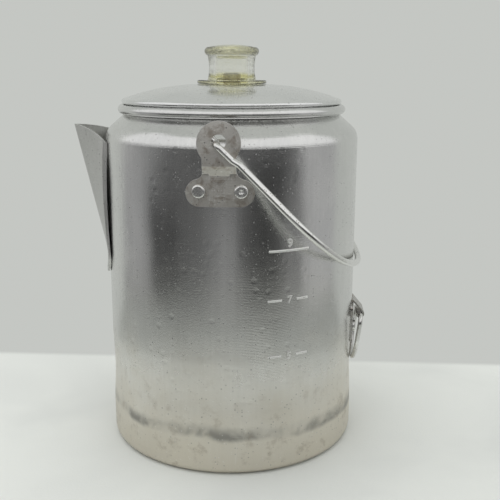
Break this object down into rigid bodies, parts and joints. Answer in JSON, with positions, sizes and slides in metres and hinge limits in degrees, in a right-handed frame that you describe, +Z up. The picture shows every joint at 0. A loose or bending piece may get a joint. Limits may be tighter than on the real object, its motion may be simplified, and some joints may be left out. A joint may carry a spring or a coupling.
{
  "type": "stovetop coffee percolator",
  "caption": "Worn pressed-aluminium stovetop coffee percolator with a folded spout, wire bail, tilting ring, lift-off lid and clear yellowed knob.",
  "frame": {"origin": "centre of the flat bottom of the pot, on the surface it stands on", "axes": "+Z up along the pot's axis; -X towards the spout, +X towards the tilting ring, -Y and +Y through the two bail ears"},
  "size_m": [0.1605, 0.1662, 0.2125],
  "materials": {
    "pot_aluminium": "worn satin polish with heat stain near the foot",
    "spout_aluminium": "dull folded sheet",
    "lid_aluminium": "polished, fine scratches",
    "inner_aluminium": "matt, coffee darkened",
    "rivet_aluminium": "bright domed heads",
    "ear_steel": "dull tinned steel, slightly rusted",
    "wire_steel": "bright plated wire, scratched",
    "knob_plastic": "clear, yellowed with age"
  },
  "bodies": {
    "pot": {"pot_body": "pot_aluminium", "spout": "spout_aluminium", "front_ear": "ear_steel", "back_ear": "ear_steel", "front_ear_rivet_left": "rivet_aluminium", "front_ear_rivet_right": "rivet_aluminium", "back_ear_rivet_left": "rivet_aluminium", "back_ear_rivet_right": "rivet_aluminium", "tilt_bracket": "ear_steel", "tilt_rivet_left": "rivet_aluminium", "tilt_rivet_right": "rivet_aluminium"},
    "bail": {"bail_handle": "wire_steel"},
    "ring": {"tilt_ring": "wire_steel"},
    "pump": {"pump_tube": "inner_aluminium", "pump_base": "inner_aluminium", "basket_stop": "inner_aluminium"},
    "basket": {"basket": "inner_aluminium"},
    "spreader": {"basket_cover": "inner_aluminium"},
    "lid": {"lid": "lid_aluminium"},
    "knob": {"knob": "knob_plastic"}
  },
  "joints": [
    {"name": "bail_swing", "type": "hinge", "parent": "pot", "child": "bail", "pos_m": [-0.001, 0, 0.1669], "axis": [0, -1, 0], "range_deg": [0, 265]},
    {"name": "ring_swing", "type": "hinge", "parent": "pot", "child": "ring", "pos_m": [0.0718, 0, 0.06756], "axis": [0, -1, 0], "range_deg": [0, 190]},
    {"name": "pump_lift", "type": "slide", "parent": "pot", "child": "pump", "axis": [0, 0, 1], "range_m": [0, 0.2]},
    {"name": "basket_lift", "type": "slide", "parent": "pump", "child": "basket", "axis": [0, 0, 1], "range_m": [0, 0.085]},
    {"name": "cover_lift", "type": "slide", "parent": "basket", "child": "spreader", "axis": [0, 0, 1], "range_m": [0, 0.035]},
    {"name": "lid_lift", "type": "slide", "parent": "spreader", "child": "lid", "axis": [0, 0, 1], "range_m": [0, 0.045]},
    {"name": "knob_twist", "type": "hinge", "parent": "lid", "child": "knob", "pos_m": [0, 0, 0.19], "axis": [0, 0, 1], "range_deg": [0, 60]}
  ]
}
